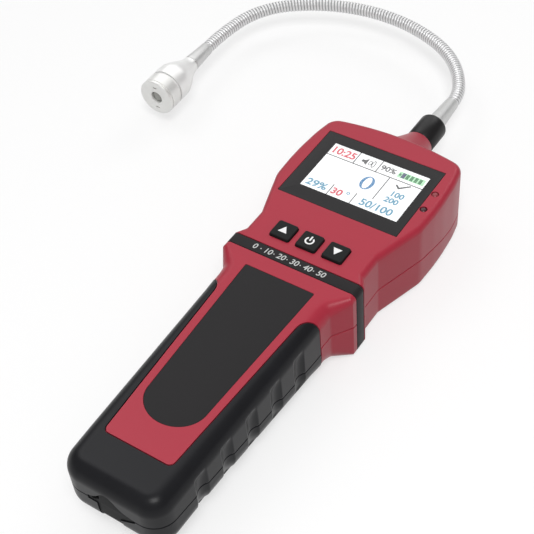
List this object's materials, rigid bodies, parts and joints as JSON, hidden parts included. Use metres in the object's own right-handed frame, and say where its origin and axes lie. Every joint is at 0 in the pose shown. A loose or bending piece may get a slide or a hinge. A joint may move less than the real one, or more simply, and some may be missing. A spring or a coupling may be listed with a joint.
{
  "type": "gas leak detector",
  "caption": "Hand-held gas leak detector: red casing with a colour display, keys and a black fluted grip, and a bending metal gooseneck that carries a bell-shaped sensor probe.",
  "frame": {"origin": "on the flat back of the head, on the centre line, 41.5 mm below the middle of the head's far end", "axes": "+X to the user's right when the display faces them, +Y along the casing from the handle to the probe end, +Z out of the display; the detector lies on its back"},
  "size_m": [0.1869, 0.3349, 0.0395],
  "materials": {
    "red_plastic": "satin moulded plastic",
    "black_rubber": "matte overmoulded rubber",
    "band_black": "matte",
    "label_grey": "matte printed film",
    "window_dark": "gloss, dark printed border",
    "screen": "white display",
    "foam": "soft foam",
    "key_rubber": "matte with white symbols",
    "switch_black": "matte",
    "board_green": "solder mask",
    "lamp_red": "clear red lens",
    "lamp_dark": "dark lens",
    "buzzer_black": "matte",
    "battery_wrap": "shrink wrap",
    "steel": "plain",
    "flap_rubber": "matte",
    "screw_steel": "dark plated",
    "nickel": "satin nickel plate",
    "brass": "plain",
    "nut_black": "smooth",
    "neck_chrome": "bright plate on a ribbed tube",
    "probe_silver": "satin",
    "mesh_steel": "sintered"
  },
  "bodies": {
    "body": {"front_shell": "red_plastic", "rear_shell": "red_plastic", "grip_front": "black_rubber", "grip_rear": "black_rubber", "collar_band": "band_black", "handle_label": "label_grey", "display_window": "window_dark", "lcd_module": "screen", "display_pad": "foam", "switch_up": "switch_black", "switch_power": "switch_black", "switch_down": "switch_black", "main_board": "board_green", "alarm_lamp": "lamp_red", "status_lamp": "lamp_dark", "buzzer": "buzzer_black", "battery_cell": "battery_wrap", "charge_board": "board_green", "charging_socket": "steel", "case_screw_1": "screw_steel", "case_screw_2": "screw_steel", "case_screw_3": "screw_steel", "case_screw_4": "screw_steel", "case_screw_5": "screw_steel", "case_screw_6": "screw_steel", "board_screw_1": "screw_steel", "board_screw_2": "screw_steel", "board_screw_3": "screw_steel", "board_screw_4": "screw_steel", "neck_bush": "brass", "neck_nut": "nut_black", "lower_ferrule": "nickel", "neck_piece_01": "neck_chrome"},
    "up_key": {"key_up": "key_rubber"},
    "power_key": {"key_power": "key_rubber"},
    "down_key": {"key_down": "key_rubber"},
    "flap": {"port_flap": "flap_rubber"},
    "neck_02": {"neck_piece_02": "neck_chrome"},
    "neck_03": {"neck_piece_03": "neck_chrome"},
    "neck_04": {"neck_piece_04": "neck_chrome"},
    "neck_05": {"neck_piece_05": "neck_chrome"},
    "neck_06": {"neck_piece_06": "neck_chrome"},
    "neck_07": {"neck_piece_07": "neck_chrome"},
    "neck_08": {"neck_piece_08": "neck_chrome"},
    "neck_09": {"neck_piece_09": "neck_chrome"},
    "neck_10": {"neck_piece_10": "neck_chrome"},
    "neck_11": {"neck_piece_11": "neck_chrome"},
    "neck_12": {"neck_piece_12": "neck_chrome"},
    "neck_13": {"neck_piece_13": "neck_chrome", "upper_ferrule": "nickel", "probe_body": "probe_silver", "probe_seal": "black_rubber", "probe_cap": "probe_silver", "inlet_mesh": "mesh_steel", "gas_sensor": "nickel"}
  },
  "joints": [
    {"name": "neck_swing_01", "type": "hinge", "parent": "body", "child": "neck_02", "pos_m": [-0.00409, 0.11121, 0.018], "axis": [0, 0, 1], "range_deg": [-20, 5]},
    {"name": "neck_swing_02", "type": "hinge", "parent": "neck_02", "child": "neck_03", "pos_m": [-0.01337, 0.12409, 0.018], "axis": [0, 0, 1], "range_deg": [-20, 5]},
    {"name": "neck_lift_03", "type": "hinge", "parent": "neck_03", "child": "neck_04", "pos_m": [-0.02578, 0.13398, 0.018], "axis": [0.51, 0.8602, 0], "range_deg": [-15, 15]},
    {"name": "neck_swing_04", "type": "hinge", "parent": "neck_04", "child": "neck_05", "pos_m": [-0.04031, 0.14044, 0.018], "axis": [0, 0, 1], "range_deg": [-20, 5]},
    {"name": "neck_swing_05", "type": "hinge", "parent": "neck_05", "child": "neck_06", "pos_m": [-0.05578, 0.14409, 0.018], "axis": [0, 0, 1], "range_deg": [-20, 5]},
    {"name": "neck_lift_06", "type": "hinge", "parent": "neck_06", "child": "neck_07", "pos_m": [-0.07166, 0.14487, 0.018], "axis": [-0.0419, 0.9991, 0], "range_deg": [-15, 15]},
    {"name": "neck_swing_07", "type": "hinge", "parent": "neck_07", "child": "neck_08", "pos_m": [-0.08743, 0.14276, 0.018], "axis": [0, 0, 1], "range_deg": [-20, 5]},
    {"name": "neck_swing_08", "type": "hinge", "parent": "neck_08", "child": "neck_09", "pos_m": [-0.10254, 0.13783, 0.018], "axis": [0, 0, 1], "range_deg": [-20, 5]},
    {"name": "neck_lift_09", "type": "hinge", "parent": "neck_09", "child": "neck_10", "pos_m": [-0.11651, 0.13024, 0.018], "axis": [-0.5553, 0.8316, 0], "range_deg": [-15, 15]},
    {"name": "neck_swing_10", "type": "hinge", "parent": "neck_10", "child": "neck_11", "pos_m": [-0.12819, 0.11953, 0.018], "axis": [0, 0, 1], "range_deg": [-20, 5]},
    {"name": "neck_swing_11", "type": "hinge", "parent": "neck_11", "child": "neck_12", "pos_m": [-0.13532, 0.10539, 0.018], "axis": [0, 0, 1], "range_deg": [-20, 5]},
    {"name": "neck_lift_12", "type": "hinge", "parent": "neck_12", "child": "neck_13", "pos_m": [-0.13791, 0.0897, 0.018], "axis": [-0.9954, 0.0956, 0], "range_deg": [-15, 15]},
    {"name": "up_key_press", "type": "slide", "parent": "body", "child": "up_key", "axis": [0, 0, 1], "range_m": [-0.001, 0], "stiffness_N_per_m": 500, "springref_m": 0.001},
    {"name": "power_key_press", "type": "slide", "parent": "body", "child": "power_key", "axis": [0, 0, 1], "range_m": [-0.001, 0], "stiffness_N_per_m": 500, "springref_m": 0.001},
    {"name": "down_key_press", "type": "slide", "parent": "body", "child": "down_key", "axis": [0, 0, 1], "range_m": [-0.001, 0], "stiffness_N_per_m": 500, "springref_m": 0.001},
    {"name": "flap_hinge", "type": "hinge", "parent": "body", "child": "flap", "pos_m": [0, -0.1855, 0.0118], "axis": [1, 0, 0], "range_deg": [0, 90]}
  ]
}
